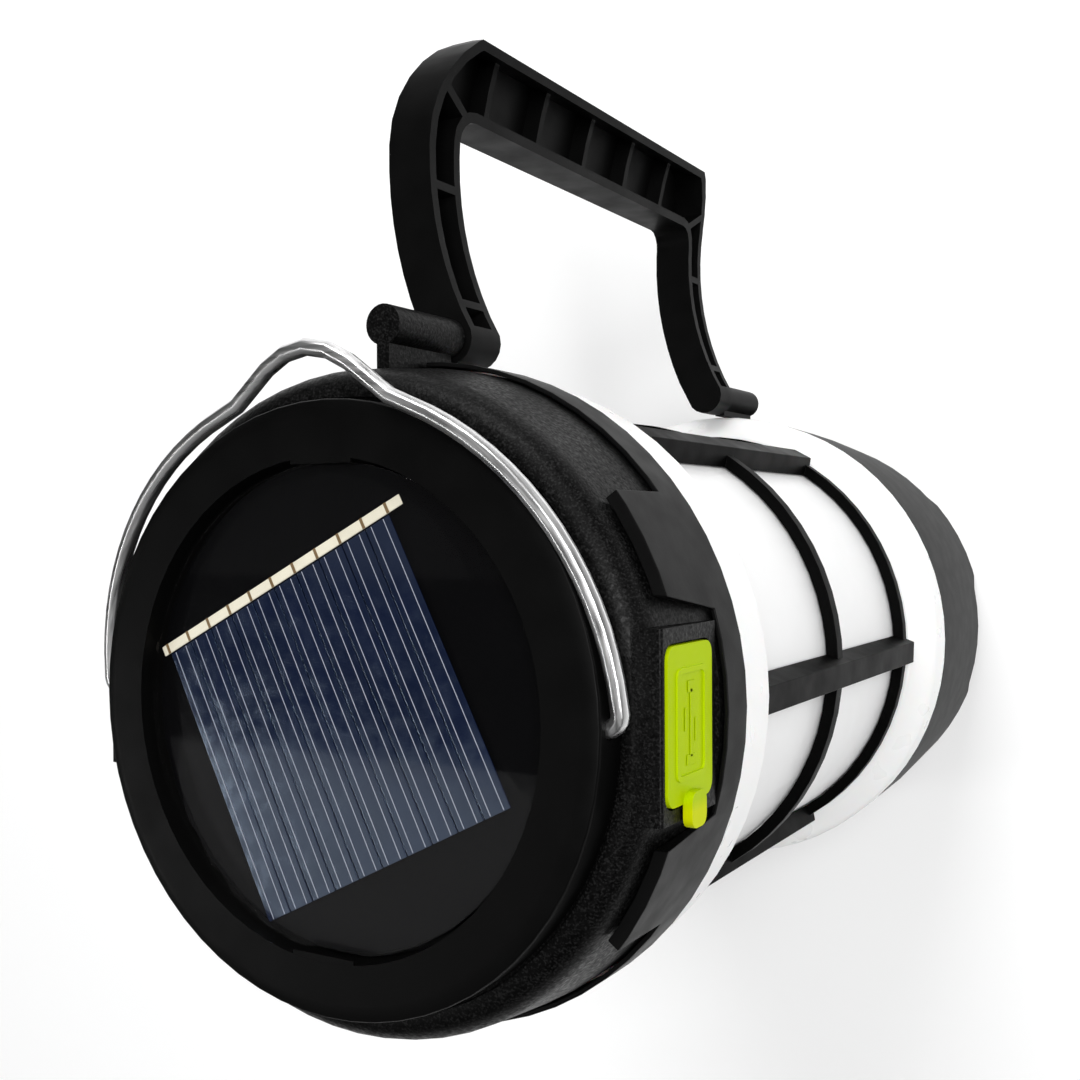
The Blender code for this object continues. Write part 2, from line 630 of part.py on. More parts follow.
def make_head_housing(material):
    """Tapered head with the lens lip, and the web and barrel of the far hinge."""
    wall_r = 44.6 * MM
    inner, mouth = 43.9 * MM, 44.2 * MM
    lip_r = 41 * MM
    lip_top, lip_end = LENS_DEPTH - 0.8 * MM, 193 * MM
    profile = [(COLLAR_R, HEAD_TOP), (48.6 * MM, 165 * MM), (HEAD_END_R, CREST_FLOOR)]
    profile += [(wall_r, CREST_FLOOR), (wall_r, lip_end), (lip_r, lip_end), (lip_r, lip_top)]
    profile += [(inner, lip_top), (inner, 150.6 * MM), (mouth, 150.2 * MM), (mouth, HEAD_TOP)]
    head = turned("head_housing", profile, material)
    fuse(head, make_crown())
    upper_web = (COLLAR_R + 0.6 * MM, HINGE_Y)
    fuse(head, box("upper_web", (-1.1 * MM, 1.1 * MM), upper_web, (140 * MM, 147 * MM)))
    web_depths = (HEAD_TOP + 0.6 * MM, 156.6 * MM)
    add_hinge_barrel(head, (138.2 * MM, 157 * MM), web_depths, 47.0 * MM, opens_down=False)


def make_crown():
    """Six lugs with slanted ends that carry the head's taper on past the lens."""
    root = 183 * MM
    profile = [(HEAD_END_R + 0.35 * MM, root), (HEAD_END_R - 0.3 * MM, BODY_LENGTH)]
    profile += [(44.5 * MM, BODY_LENGTH), (44.5 * MM, root)]
    crown = turned("crown", profile)
    half_root, half_end = 6.5 * MM, 17.5 * MM
    end = BODY_LENGTH + 5 * MM
    outline = [(-half_root, height(root - 1 * MM)), (half_root, height(root - 1 * MM))]
    outline += [(half_end, height(end)), (-half_end, height(end))]
    for angle in around(6, radians(-3)):
        gap = extruded("crown_gap", outline, 38 * MM, 56 * MM, "X")
        gap.data.transform(Matrix.Rotation(angle, 4, "Z"))
        cut(crown, gap)
    return crown


def make_torch(chrome, aluminium, led_white, glass, rubber, screw_metal):
    """Heat sink, LED and its board, reflector, gasket and flat lens, from the inside out."""
    make_heat_sink(aluminium)
    for i, angle in enumerate(POST_ANGLES):
        make_screw(f"head_screw_{i + 1}", polar(POST_RADIUS, angle), 150.3 * MM, screw_metal)
    disc("torch_led_board", 10 * MM, 150.3 * MM, 151.9 * MM, aluminium, vertices=24)
    dome_r = 3.4 * MM
    base, shoulder = 152.2 * MM, 152.9 * MM
    dome = arc((0, shoulder), (dome_r, 2.7 * MM), 0, 90, 4)[:-1]
    profile = [(0, base), (dome_r, base)] + dome + [(0, shoulder + 2.7 * MM)]
    turned("torch_led", profile, led_white, steps=16)
    make_reflector(chrome)
    gasket = ring_profile(41.4 * MM, 43.4 * MM, 186.7 * MM, 187.7 * MM)
    turned("lens_gasket", gasket, rubber, steps=INNER_STEPS)
    flange_r, front_r = 43.2 * MM, 40.6 * MM
    top, step = 188.0 * MM, LENS_DEPTH - 1.1 * MM
    lens = [(0, top), (flange_r, top), (flange_r, step), (front_r, step)]
    turned("torch_lens", lens + [(front_r, LENS_DEPTH), (0, LENS_DEPTH)], glass)


def make_heat_sink(material):
    """Round plate with a row of fins, bored for the four screws."""
    sink = disc("heat_sink", 40.6 * MM, 147.0 * MM, 150.0 * MM, material, vertices=STEPS)
    half = 0.9 * MM
    for i in range(-3, 4):
        x = i * 5.5 * MM
        fin_depths = (138.5 * MM, 148 * MM)
        fuse(sink, box("fin", (x - half, x + half), (-20 * MM, 20 * MM), fin_depths))
    for angle in POST_ANGLES:
        centre = polar(POST_RADIUS, angle)
        cut(sink, disc("sink_hole", 1.35 * MM, 145 * MM, 152 * MM, centre=centre, vertices=12))


def make_reflector(material):
    """A thin parabolic bowl around the LED, with a flange under the gasket."""
    throat, rim = 6.0 * MM, 41.2 * MM
    start, end = 152.6 * MM, 186.4 * MM
    shares = [i / 6 for i in range(7)]
    bowl = [(throat + (rim - throat) * share**0.5, start + (end - start) * share) for share in shares]
    outside = [(r + 1.3 * MM, depth) for r, depth in bowl[:-1]]
    flange = [(43.4 * MM, 184.9 * MM), (43.4 * MM, end)]
    turned("reflector", outside + flange + bowl[::-1], material, steps=INNER_STEPS)


# ---- Carry handle ---------------------------------------------------------------------------------

SKIN = 1.7 * MM
RIB_THICKNESS = 1.4 * MM


def arch_outline(inner_r, outer_r, foot_r, inset=0.0):
    """Side view of the handle: a curved band that ends in a round foot on the hinge's axis."""
    top = (ARCH_TOP_ANGLE + inset / ARCH_OUTER_R) * 180 / pi
    foot = ARCH_FOOT_ANGLE * 180 / pi
    outer = arc(ARCH_CENTRE, (outer_r, outer_r), top, foot - 3, 12)
    heel = arc((0, HINGE_Y), (foot_r, foot_r), 222, 378, 8)
    inner = arc(ARCH_CENTRE, (inner_r, inner_r), foot - 1, top, 12)
    return outer + heel + inner


def frame_outline(inset):
    """Front view of the handle as (Y, Z): an upside-down U with round outer and inner corners."""
    high = height(HANDLE_TOP) - inset
    low = height(HANDLE_END) + inset
    top = GRIP_TOP_Y - inset
    foot = 40 * MM
    near_r = NEAR_CORNER_R - inset
    far_r = FAR_CORNER_R - inset
    window_r = WINDOW_CORNER_R + inset
    window_high = height(HANDLE_TOP + NEAR_ARM) + inset
    window_low = height(HANDLE_END - FAR_ARM) - inset
    window_top = GRIP_BOTTOM_Y + inset
    points = [(foot, high)]
    points += arc((top - near_r, high - near_r), (near_r, near_r), 90, 0, 8)
    points += arc((top - far_r, low + far_r), (far_r, far_r), 0, -90, 6)
    points += [(foot, low), (foot, window_low)]
    points += arc((window_top - window_r, window_low + window_r), (window_r, window_r), -90, 0, 4)
    points += arc((window_top - window_r, window_high - window_r), (window_r, window_r), 0, 90, 4)
    points += [(foot, window_high)]
    return points


def arm_rib(depths, degrees):
    """A thin wall across one arm, square to the arch."""
    angle = radians(degrees)
    half = RIB_THICKNESS / 2
    rib = box("arm_rib", (50 * MM, 70 * MM), (-half, half), depths, turn=angle)
    rib.data.transform(Matrix.Translation((*ARCH_CENTRE, 0)))
    return rib


def corner_rib(corner, angle):
    """A thin wall that runs aslant across a corner of the frame."""
    half = RIB_THICKNESS / 2
    rib = box("corner_rib", (-30 * MM, 20 * MM), (-half, half), (0, 60 * MM))
    rib.data.transform(Matrix.Translation((0, 0, -height(30 * MM))))
    rib.data.transform(Matrix.Rotation(angle, 4, "X"))
    rib.data.transform(Matrix.Translation((0, *corner)))
    return rib


def grip_rib(middle):
    """A thin wall across the grip's channel, standing a little below the channel's rim."""
    half = RIB_THICKNESS / 2
    rib = box("grip_rib", (-30 * MM, 20 * MM), (86 * MM, 112 * MM), (middle - half, middle + half))
    recess_r = ARCH_INNER_R + 3 * MM
    return cut(rib, disc("rib_recess", recess_r, 0, 200 * MM, centre=ARCH_CENTRE, vertices=96))


def make_handle(material):
    """Channel-section frame, open and ribbed on its hollow side, with a peg on each foot."""
    low, high = height(HANDLE_END), height(HANDLE_TOP)
    half = 40 * MM
    side_view = arch_outline(ARCH_INNER_R, ARCH_OUTER_R, 4.0 * MM)
    handle = extruded("handle", side_view, low, high, "Z", material)
    boolean(handle, extruded("frame", frame_outline(0), -half, half, "X"), "INTERSECT")
    hollow_view = arch_outline(50 * MM, ARCH_OUTER_R - SKIN, 2.2 * MM, SKIN)
    hollow = extruded("hollow", hollow_view, low, high, "Z")
    boolean(hollow, extruded("hollow_frame", frame_outline(SKIN), -half, half, "X"), "INTERSECT")
    arms = ((HANDLE_TOP, HANDLE_TOP + NEAR_ARM), (HANDLE_END - FAR_ARM, HANDLE_END))
    for depths, angles in zip(arms, ((184.5, 204.5), (183, 204))):
        for degrees in angles:
            cut(hollow, arm_rib(depths, degrees))
        cut(hollow, box("foot_block", (-12 * MM, 12 * MM), (40 * MM, HINGE_Y + 1 * MM), depths))
    for middle in (50 * MM, 67.5 * MM, 85 * MM, 102.5 * MM, 120 * MM):
        cut(hollow, grip_rib(middle))
    reach = GRIP_BOTTOM_Y + 2 * MM
    cut(hollow, corner_rib((reach, height(HANDLE_TOP + NEAR_ARM - 2 * MM)), radians(-28)))
    cut(hollow, corner_rib((reach, height(HANDLE_END - FAR_ARM + 2 * MM)), radians(28)))
    cut(handle, hollow)
    peg = 10 * MM
    pegs = ((HANDLE_TOP - peg, HANDLE_TOP + 3 * MM), (HANDLE_END - 3 * MM, HANDLE_END + peg))
    for depths in pegs:
        fuse(handle, disc("peg", PEG_R, *depths, centre=(0, HINGE_Y), vertices=24))


# ---- Assembly -------------------------------------------------------------------------------------


def main():
    black = new_material("black_abs", (0.012, 0.012, 0.012), 0.5)
    dark_grey = new_material("dark_grey_abs", (0.06, 0.06, 0.06), 0.45)
    white = new_material("white_abs", (0.86, 0.86, 0.85), 0.35)
    steel = new_material("spring_steel", (0.62, 0.62, 0.62), 0.25, metallic=1.0)
    nickel = new_material("nickel", (0.6, 0.58, 0.54), 0.3, metallic=1.0)
    aluminium = new_material("aluminium", (0.7, 0.7, 0.7), 0.4, metallic=1.0)
    lime = new_material("lime_rubber", (0.42, 0.6, 0.0), 0.55)
    soft_black = new_material("black_rubber", (0.02, 0.02, 0.02), 0.7)
    green_board = new_material("circuit_board", (0.02, 0.16, 0.06), 0.45)

    make_solar_cap(black)
    make_solar_panel(
        new_material("panel_board", (0.01, 0.01, 0.012), 0.4),
        new_material("solar_cell", (0.01, 0.02, 0.07), 0.25),
        new_material("bus_ribbon", (0.8, 0.74, 0.6), 0.35, metallic=0.6),
        new_material("clear_resin", (0.9, 0.9, 0.9), 0.05, alpha=0.3),
    )
    make_bail(steel)

    make_top_housing(black)
    make_bumper_ring(black)
    make_usb_port(lime, nickel, white)
    make_mode_button(soft_black, black, nickel)

    make_main_board(green_board, steel)
    make_batteries(new_material("battery_sleeve", (0.02, 0.12, 0.4), 0.35), black, nickel)

    make_upper_collar(white)
    make_lower_collar(white)
    make_diffuser(new_material("frosted_tube", (0.92, 0.92, 0.92), 0.3, alpha=0.6))
    make_cage(black)
    make_light_core(white, new_material("led_strip_board", (0.9, 0.9, 0.86), 0.4), white)

    make_head_housing(dark_grey)
    make_torch(
        new_material("chromed_reflector", (0.9, 0.9, 0.9), 0.06, metallic=1.0),
        aluminium,
        new_material("led_phosphor", (0.9, 0.8, 0.2), 0.4),
        new_material("lens_glass", (0.95, 0.97, 0.97), 0.03, alpha=0.25),
        soft_black,
        steel,
    )
    make_handle(black)

    graph = bpy.context.evaluated_depsgraph_get()
    for obj in list(PARTS.objects):
        if obj.type == "MESH":
            settle(obj, graph)
    put_origin(bpy.data.objects["handle"], (0, HINGE_Y, height((HANDLE_TOP + HANDLE_END) / 2)))
    put_origin(bpy.data.objects["usb_flap"], (FLAP_FRONT, FLAP_HINGE_Y, height(PORT_DEPTH)))
    put_origin(bpy.data.objects["mode_button"], (-46 * MM, 0, height(BUTTON_DEPTH)))


clear_scene()
PARTS = new_collection("solar_lantern")
CUTTERS = new_collection("cutters")
CUTTERS.hide_render = True
main()
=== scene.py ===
"""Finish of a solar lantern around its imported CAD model.

It gives every node a material, adds the fine pieces, and sets up the floor, the lights and the camera.
"""

from math import cos, radians, sin

import bpy
from mathutils import Matrix, Vector


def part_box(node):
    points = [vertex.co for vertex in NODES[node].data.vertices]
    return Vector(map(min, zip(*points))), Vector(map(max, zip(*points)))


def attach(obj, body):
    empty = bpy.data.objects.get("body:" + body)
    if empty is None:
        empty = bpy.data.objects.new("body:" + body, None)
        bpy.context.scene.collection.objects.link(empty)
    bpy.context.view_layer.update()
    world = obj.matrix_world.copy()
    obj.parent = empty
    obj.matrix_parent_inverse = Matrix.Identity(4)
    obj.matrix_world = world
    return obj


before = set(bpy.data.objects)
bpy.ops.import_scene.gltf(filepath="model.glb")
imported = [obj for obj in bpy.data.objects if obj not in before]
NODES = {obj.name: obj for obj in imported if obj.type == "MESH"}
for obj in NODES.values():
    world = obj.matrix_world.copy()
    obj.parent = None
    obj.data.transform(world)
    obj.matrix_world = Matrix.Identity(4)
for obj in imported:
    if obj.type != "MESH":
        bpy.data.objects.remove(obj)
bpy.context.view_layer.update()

MM = 0.001

FLOOR_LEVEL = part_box("head_housing")[0].z


# ---- Shader helpers -------------------------------------------------------------------------------


def new_material(name, colour, roughness, **sockets):
    """A principled material. Other sockets are given by name with _ for a space, as coat_weight=1."""
    material = bpy.data.materials.new(name)
    material.use_nodes = True
    shader = material.node_tree.nodes["Principled BSDF"]
    shader.inputs["Base Color"].default_value = (*colour, 1)
    shader.inputs["Roughness"].default_value = roughness
    known = {socket.name.lower().replace(" ", "_"): socket for socket in shader.inputs}
    for key, value in sockets.items():
        known[key].default_value = value
    return material


def shader_of(material):
    return material.node_tree.nodes["Principled BSDF"]


def add(material, kind, **settings):
    node = material.node_tree.nodes.new("ShaderNode" + kind)
    for key, value in settings.items():
        setattr(node, key, value)
    return node


def link(material, output, socket):
    material.node_tree.links.new(output, socket)


def position(material):
    """The point's own coordinates, in metres."""
    return add(material, "TexCoord").outputs["Object"]


def noise(material, grain, detail=2.0):
    """Noise whose blotches are about one grain across, in metres."""
    texture = add(material, "TexNoise")
    texture.inputs["Scale"].default_value = 0.5 / grain
    texture.inputs["Detail"].default_value = detail
    link(material, position(material), texture.inputs["Vector"])
    return texture.outputs["Fac"]


def spread(material, value, low, high, start=0.3, end=0.7):
    """Maps the middle of a 0 to 1 value onto low to high."""
    ranged = add(material, "MapRange")
    for name, number in zip(("From Min", "From Max", "To Min", "To Max"), (start, end, low, high)):
        ranged.inputs[name].default_value = number
    link(material, value, ranged.inputs["Value"])
    return ranged.outputs["Result"]


def mix_colours(material, factor, first, second):
    mix = add(material, "Mix", data_type="RGBA")
    for socket in mix.inputs:
        if socket.type == "RGBA":
            socket.default_value = (*(first if socket.name == "A" else second), 1)
    link(material, factor, mix.inputs["Factor"])
    return [socket for socket in mix.outputs if socket.type == "RGBA"][0]


def add_bump(material, height, strength, distance):
    bump = add(material, "Bump")
    bump.inputs["Strength"].default_value = strength
    bump.inputs["Distance"].default_value = distance
    link(material, height, bump.inputs["Height"])
    link(material, bump.outputs["Normal"], shader_of(material).inputs["Normal"])
    return bump


def vary_colour(material, factor, first, second):
    link(material, mix_colours(material, factor, first, second), shader_of(material).inputs["Base Color"])


def vary_roughness(material, factor, low, high):
    link(material, spread(material, factor, low, high), shader_of(material).inputs["Roughness"])


# ---- Materials ------------------------------------------------------------------------------------


def satin_black(name="satin_black", shade=0.0022, gloss=0.06):
    """Smooth moulded plastic with a fine satin grain and a few dull spots."""
    material = new_material(name, (shade, shade, shade), 0.42, specular_ior_level=gloss)
    darker, lighter = (shade * 0.8,) * 3, (shade * 1.25,) * 3
    vary_colour(material, noise(material, 6 * MM), darker, lighter)
    vary_roughness(material, noise(material, 3 * MM), 0.38, 0.5)
    add_bump(material, noise(material, 0.3 * MM, 2), 0.2, 0.04 * MM)
    return material


def spark_black():
    """Moulded plastic with the coarse grain of a spark-eroded mould."""
    material = new_material("spark_black", (0.002, 0.002, 0.002), 0.5, specular_ior_level=0.1)
    sparks = spread(material, noise(material, 0.16 * MM, 1), 0, 1, 0.5, 0.7)
    vary_colour(material, sparks, (0.001, 0.001, 0.001), (0.012, 0.012, 0.012))
    vary_roughness(material, noise(material, 0.3 * MM), 0.3, 0.6)
    add_bump(material, noise(material, 0.25 * MM, 1), 0.7, 0.08 * MM)
    return material


def dark_grey():
    """The torch head's plastic, a shade lighter than the black parts."""
    material = new_material("dark_grey_plastic", (0.0065, 0.0065, 0.0065), 0.45, specular_ior_level=0.05)
    vary_colour(material, noise(material, 5 * MM), (0.006, 0.006, 0.006), (0.007, 0.007, 0.007))
    vary_roughness(material, noise(material, 2 * MM), 0.44, 0.48)
    add_bump(material, noise(material, 0.3 * MM, 1), 0.1, 0.03 * MM)
    return material


def white_plastic():
    material = new_material("white_plastic", (0.86, 0.86, 0.855), 0.3, subsurface_weight=0.12)
    shader_of(material).inputs["Subsurface Scale"].default_value = 2 * MM
    vary_colour(material, noise(material, 9 * MM), (0.84, 0.84, 0.835), (0.88, 0.88, 0.876))
    vary_roughness(material, noise(material, 3 * MM), 0.26, 0.36)
    add_bump(material, noise(material, 0.6 * MM, 1), 0.05, 0.03 * MM)
    return material


def frosted_tube():
    material = new_material("frosted_tube", (0.95, 0.95, 0.95), 0.35, transmission_weight=0.15)
    vary_colour(material, noise(material, 12 * MM), (0.9, 0.9, 0.9), (0.95, 0.95, 0.95))
    vary_roughness(material, noise(material, 2 * MM), 0.3, 0.42)
    return material


def drawn_steel():
    """Bright wire with marks drawn along its length, which runs round the axis."""
    material = new_material("drawn_steel", (0.75, 0.75, 0.75), 0.3, metallic=1.0)
    streaks = ring_streaks(material, 0.3 * MM)
    vary_colour(material, streaks, (0.6, 0.6, 0.6), (0.95, 0.95, 0.95))
    vary_roughness(material, streaks, 0.24, 0.42)
    add_bump(material, streaks, 0.2, 0.03 * MM)
    return material


def ring_streaks(material, grain):
    """Noise that changes fast across a wire bent round the axis and slowly along it."""
    split = add(material, "SeparateXYZ")
    link(material, position(material), split.inputs[0])
    flat = add(material, "CombineXYZ")
    link(material, split.outputs["X"], flat.inputs["X"])
    link(material, split.outputs["Y"], flat.inputs["Y"])
    radius = add(material, "VectorMath", operation="LENGTH")
    link(material, flat.outputs[0], radius.inputs[0])
    across = add(material, "CombineXYZ")
    link(material, radius.outputs["Value"], across.inputs["X"])
    link(material, split.outputs["Z"], across.inputs["Z"])
    slow = add(material, "Math", operation="MULTIPLY")
    slow.inputs[1].default_value = 0.03
    link(material, split.outputs["Y"], slow.inputs[0])
    link(material, slow.outputs[0], across.inputs["Y"])
    texture = add(material, "TexNoise")
    texture.inputs["Scale"].default_value = 0.5 / grain
    texture.inputs["Detail"].default_value = 3
    link(material, across.outputs[0], texture.inputs["Vector"])
    return texture.outputs["Fac"]


def simple(name, colour, roughness, grain=2 * MM, contrast=0.12, **sockets):
    """A plain finish with slight blotches of colour and gloss and a fine surface grain."""
    material = new_material(name, colour, roughness, **sockets)
    light = tuple(min(1, c * (1 + contrast)) for c in colour)
    dark = tuple(c * (1 - contrast) for c in colour)
    vary_colour(material, noise(material, grain), dark, light)
    vary_roughness(material, noise(material, grain / 2), roughness * 0.85, min(1, roughness * 1.15))
    add_bump(material, noise(material, grain / 6, 1), 0.1, 0.04 * MM)
    return material


def lime_rubber(name, colour, lit_tab_colour=None):
    """Bright moulded rubber; the thin pull tab gets a painted glow, lighter and yellower, for the light
    it lets through.
    """
    material = new_material(name, colour, 0.5, specular_ior_level=0.04)
    if lit_tab_colour:
        split = add(material, "SeparateXYZ")
        link(material, position(material), split.inputs[0])
        # Painted light: towards the thin tab the colour blends into a lighter, yellower one for the light
        # shining through it.
        tab = spread(material, split.outputs["Y"], 0, 1, -9.6 * MM, -11 * MM)
        vary_colour(material, tab, colour, lit_tab_colour)
    else:
        lighter = tuple(value * 1.1 for value in colour)
        vary_colour(material, noise(material, 5 * MM), colour, lighter)
    vary_roughness(material, noise(material, 2 * MM), 0.38, 0.52)
    add_bump(material, noise(material, 0.3 * MM, 1), 0.15, 0.04 * MM)
    return material


def solar_cell():
    """Dark blue polished silicon with the faint mottling of its crystals."""
    material = new_material("solar_cell", (0.004, 0.008, 0.026), 0.12, ior=2.2)
    shader_of(material).inputs["Specular Tint"].default_value = (0.66, 0.83, 1, 1)
    vary_colour(material, noise(material, 3 * MM, 3), (0.002, 0.005, 0.018), (0.006, 0.011, 0.036))
    vary_roughness(material, noise(material, 1 * MM), 0.08, 0.2)
    return material


def clear_resin():
    """Clear cast resin: almost all that shows of it is a faint mirror image."""
    material = new_material("clear_resin", (1, 1, 1), 0.03, metallic=1.0, alpha=0.014)
    vary_roughness(material, noise(material, 8 * MM), 0.02, 0.05)
    return material


# ---- Finishing the CAD nodes ----------------------------------------------------------------------


def join_group():
    """Geometry nodes that join a node's loose faces and drop its flat normals."""
    group = bpy.data.node_groups.new("Join", "GeometryNodeTree")
    group.interface.new_socket("Geometry", in_out="INPUT", socket_type="NodeSocketGeometry")
    group.interface.new_socket("Geometry", in_out="OUTPUT", socket_type="NodeSocketGeometry")
    start = group.nodes.new("NodeGroupInput")
    end = group.nodes.new("NodeGroupOutput")
    merge = group.nodes.new("GeometryNodeMergeByDistance")
    merge.inputs["Distance"].default_value = 0.000002
    drop = group.nodes.new("GeometryNodeRemoveAttribute")
    drop.inputs["Name"].default_value = "custom_normal"
    group.links.new(start.outputs[0], drop.inputs["Geometry"])
    group.links.new(drop.outputs["Geometry"], merge.inputs["Geometry"])
    group.links.new(merge.outputs["Geometry"], end.inputs[0])
    return group


def shade_group(angle):
    """Geometry nodes that shade a mesh smooth, apart from edges sharper than the angle."""
    group = bpy.data.node_groups.new("Shade", "GeometryNodeTree")
    group.interface.new_socket("Geometry", in_out="INPUT", socket_type="NodeSocketGeometry")
    group.interface.new_socket("Geometry", in_out="OUTPUT", socket_type="NodeSocketGeometry")
    start = group.nodes.new("NodeGroupInput")
    end = group.nodes.new("NodeGroupOutput")
    faces = group.nodes.new("GeometryNodeSetShadeSmooth")
    edges = group.nodes.new("GeometryNodeSetShadeSmooth")
    edges.domain = "EDGE"
    edges.inputs["Shade Smooth"].default_value = False
    measure = group.nodes.new("GeometryNodeInputMeshEdgeAngle")
    sharper = group.nodes.new("FunctionNodeCompare")
    sharper.operation = "GREATER_THAN"
    sharper.inputs[1].default_value = angle
    group.links.new(measure.outputs["Unsigned Angle"], sharper.inputs[0])
    group.links.new(sharper.outputs[0], edges.inputs["Selection"])
    group.links.new(start.outputs[0], faces.inputs["Geometry"])
    group.links.new(faces.outputs["Geometry"], edges.inputs["Geometry"])
    group.links.new(edges.outputs["Geometry"], end.inputs[0])
    return group


JOIN = join_group()
SHADE = shade_group(radians(40))


def use_group(obj, group):
    obj.modifiers.new(group.name, "NODES").node_group = group


def soften(obj, width=0.2 * MM):
    """Joins a node's faces, rounds its sharp edges and shades its curved faces smooth."""
    use_group(obj, JOIN)
    flat = obj.modifiers.new("Flat", "DECIMATE")
    flat.decimate_type = "DISSOLVE"
    flat.angle_limit = radians(0.4)
    if width:
        bevel = obj.modifiers.new("Bevel", "BEVEL")
        bevel.width = width
        bevel.segments = 2
        bevel.limit_method = "ANGLE"
        bevel.angle_limit = radians(35)
    use_group(obj, SHADE)
    weighted = obj.modifiers.new("Weighted", "WEIGHTED_NORMAL")
    weighted.keep_sharp = True


def paint(material, *names):
    for name in names:
        slots = NODES[name].material_slots
        slots[0].material = material


def paint_nodes():
    paint(satin_black(), "solar_cap", "handle", "battery_cradle", "button_switch")
    paint(satin_black("grip_black", 0.003, 0.08), "bumper_ring")
    paint(satin_black("cage_black", 0.0012, 0.03), "cage")
    paint(spark_black(), "top_housing")
    paint(dark_grey(), "head_housing")
    white = white_plastic()
    paint(white, "upper_collar", "lower_collar", "light_core", "upper_end_plate", "lower_end_plate")
    paint(white, "usb_socket_tongue")
    paint(frosted_tube(), "diffuser_tube")
    paint(drawn_steel(), "bail")
    screw_steel = simple("screw_steel", (0.6, 0.6, 0.6), 0.32, metallic=1.0)
    paint(screw_steel, *numbered("board_screw", 4), *numbered("head_screw", 4))
    nickel = simple("nickel", (0.62, 0.6, 0.56), 0.28, metallic=1.0)
    paint(nickel, "usb_socket_shell", "battery_strip_1", "battery_strip_2", "switch_bracket")
    paint(simple("aluminium", (0.72, 0.72, 0.73), 0.35, metallic=1.0), "heat_sink", "torch_led_board")
    # The flap's second colour is painted light, a lighter and yellower glow on the thin tab where light
    # shines through.
    paint(lime_rubber("lime_rubber", (0.4, 0.54, 0.0), (0.54, 0.6, 0.0)), "usb_flap")
    paint(simple("black_rubber", (0.015, 0.015, 0.015), 0.6), "mode_button", "lens_gasket")
    paint(simple("circuit_board", (0.02, 0.16, 0.06), 0.4), "main_board")
    board = simple("panel_board", (0.0015, 0.0015, 0.0018), 0.4, 12 * MM, specular_ior_level=0.03)
    paint(board, "solar_backing_board")
    paint(solar_cell(), *[f"solar_cell_{i:02d}" for i in range(1, 11)])
    paint(simple("bus_ribbon", (0.72, 0.68, 0.55), 0.45), "cell_bus_strip")
    paint(clear_resin(), "solar_resin_cover")
    paint(simple("led_strip_board", (0.85, 0.85, 0.82), 0.4), *numbered("led_board", 6))
    paint(simple("battery_sleeve", (0.02, 0.12, 0.4), 0.35), "battery_cell_1", "battery_cell_2")
    paint(simple("chromed_reflector", (0.9, 0.9, 0.9), 0.06, metallic=1.0), "reflector")
    paint(simple("led_phosphor", (0.85, 0.7, 0.15), 0.4), "torch_led")
    paint(clear_resin(), "torch_lens")


def numbered(stem, count):
    return [f"{stem}_{i}" for i in range(1, count + 1)]


# ---- Fine pieces ----------------------------------------------------------------------------------

# The block of cells lies askew in the round panel.
CELL_TURN = Matrix.Translation((-1.3 * MM, -2.5 * MM, 0)) @ Matrix.Rotation(radians(26.9), 4, "Z")
CELL_WIDTH = 4.52 * MM
CELL_HALF_LENGTH = 20.8 * MM
CELL_COUNT = 10
CELL_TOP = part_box("solar_cell_01")[1].z
FLAP_FACE = 47.85 * MM
FILM = 0.03 * MM
LINE_WIDTH = 0.09 * MM


def plates(name, places, size, material, body, turn=Matrix()):
    """One piece made of equal thin plates, each centred on one of the places, all turned together."""
    half = Vector(size) / 2
    verts, faces = [], []
    for place in places:
        first = len(verts)
        for z in (-half.z, half.z):
            for x, y in ((-half.x, -half.y), (half.x, -half.y), (half.x, half.y), (-half.x, half.y)):
                verts.append(turn @ (Vector(place) + Vector((x, y, z))))
        faces += [(first + 3, first + 2, first + 1, first), (first + 4, first + 5, first + 6, first + 7)]
        for i in range(4):
            after = (i + 1) % 4
            faces.append((first + i, first + after, first + 4 + after, first + 4 + i))
    mesh = bpy.data.meshes.new(name)
    mesh.from_pydata(verts, [], faces)
    return add_piece(name, mesh, material, body)


def add_piece(name, mesh, material, body):
    mesh.materials.append(material)
    piece = bpy.data.objects.new(name, mesh)
    bpy.context.scene.collection.objects.link(piece)
    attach(piece, body)
    return piece


def add_cell_lines():
    """Two printed collector lines on each cell, and the seams between the soldered tabs."""
    silver = simple("printed_silver", (0.42, 0.44, 0.5), 0.4)
    line_z = CELL_TOP + FILM
    centres = [(i - (CELL_COUNT - 1) / 2) * CELL_WIDTH for i in range(CELL_COUNT)]
    quarter = CELL_WIDTH / 4
    places = [(x + side * quarter, 0, line_z) for x in centres for side in (-1, 1)]
    size = (LINE_WIDTH, 2 * CELL_HALF_LENGTH - 0.3 * MM, FILM)
    plates("cell_collector_lines", places, size, silver, "lantern_body", CELL_TURN)
    seam = simple("solder_flux", (0.16, 0.1, 0.04), 0.5)
    seam_y = CELL_HALF_LENGTH + 0.95 * MM
    places = [(x + CELL_WIDTH / 2, seam_y, line_z) for x in [centres[0] - CELL_WIDTH] + centres]
    size = (0.5 * MM, 1.5 * MM, FILM)
    plates("bus_strip_seams", places, size, seam, "lantern_body", CELL_TURN)


def add_leds():
    """A column of small LEDs on each board around the light core."""
    lens = simple("led_lens", (0.8, 0.7, 0.3), 0.3)
    low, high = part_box("led_board_1")
    face = high.x
    count = 10
    step = (high.z - low.z) / count
    places = [(face + 0.5 * MM, 0, low.z + (i + 0.5) * step) for i in range(count)]
    for i in range(6):
        turn = Matrix.Rotation(radians(60 * i), 4, "Z")
        size = (0.8 * MM, 2.8 * MM, 3.5 * MM)
        plates(f"led_column_{i + 1}", places, size, lens, "lantern_body", turn)


